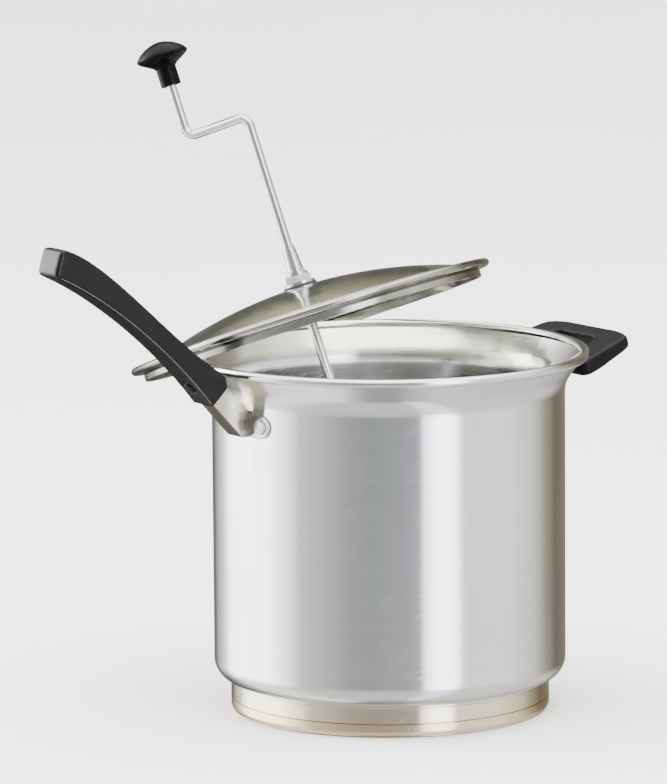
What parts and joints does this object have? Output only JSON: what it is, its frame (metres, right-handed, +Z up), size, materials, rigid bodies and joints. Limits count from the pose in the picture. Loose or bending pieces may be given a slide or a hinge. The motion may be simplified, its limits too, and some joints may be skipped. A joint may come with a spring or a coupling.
{
  "type": "stovetop popcorn popper",
  "caption": "Tall flared steel pot with a long curved handle, a helper handle and a domed glass lid set ajar, with a bent crank, mushroom knob and wire stirrer.",
  "frame": {"origin": "Centre of the pot's flat underside, which stands on the hob or table.", "axes": "+Z is up. The long handle points towards -X and the helper handle towards +X. The lid leans towards +Y and -X."},
  "size_m": [0.4179, 0.2979, 0.4126],
  "materials": {
    "pot_steel": "bright polished stainless steel with faint circular polishing marks",
    "base_steel": "polished stainless steel, slightly heat-tinted",
    "core_aluminium": "plain aluminium",
    "bracket_steel": "polished stainless steel",
    "sleeve_steel": "polished stainless steel",
    "rivet_steel": "satin stainless steel",
    "screw_steel": "zinc-plated steel",
    "screw_black": "blackened steel",
    "rim_steel": "bright polished stainless steel",
    "hub_steel": "bright plated steel",
    "crank_steel": "bright drawn steel rod",
    "collar_steel": "turned stainless steel",
    "wire_steel": "drawn stainless wire",
    "lid_glass": "clear tempered glass with a faint olive tint",
    "seal_rubber": "dark silicone rubber",
    "handle_black": "satin black phenolic plastic",
    "knob_black": "glossy black phenolic plastic"
  },
  "bodies": {
    "pot": {"pot_body": "pot_steel", "base_core": "core_aluminium", "base_cap": "base_steel", "handle_bracket": "bracket_steel", "bracket_rivets": "rivet_steel", "handle_ferrule": "sleeve_steel", "long_handle": "handle_black", "handle_screw": "screw_black", "helper_bracket": "bracket_steel", "helper_rivets": "rivet_steel", "helper_handle": "handle_black", "helper_screws": "screw_black"},
    "lid": {"lid_glass": "lid_glass", "glass_gasket": "seal_rubber", "lid_rim": "rim_steel", "lid_skirt": "rim_steel", "hub_bushing": "hub_steel", "hub_nut": "hub_steel", "hub_seal_upper": "seal_rubber", "hub_seal_lower": "seal_rubber", "hub_lock_nut": "hub_steel"},
    "crank": {"crank_rod": "crank_steel", "shaft_collar_upper": "collar_steel", "shaft_collar_lower": "collar_steel", "collar_set_screw": "screw_steel", "stirrer_hub": "collar_steel", "stirrer_set_screw": "screw_steel", "stirrer_wire_front": "wire_steel", "stirrer_wire_back": "wire_steel", "knob_push_nut": "screw_steel"},
    "knob": {"knob": "knob_black", "knob_sleeve": "sleeve_steel"}
  },
  "joints": [
    {"name": "lid_lift", "type": "slide", "parent": "pot", "child": "lid", "axis": [0, 0, 1], "range_m": [0, 0.24]},
    {"name": "crank_spin", "type": "hinge", "parent": "lid", "child": "crank", "pos_m": [-0.01901, 0.05585, 0.2402], "axis": [-0.1379, 0.3112, 0.9403], "continuous": true},
    {"name": "knob_spin", "type": "hinge", "parent": "crank", "child": "knob", "pos_m": [-0.06043, 0.14932, 0.38452], "axis": [-0.1379, 0.3112, 0.9403], "continuous": true}
  ]
}
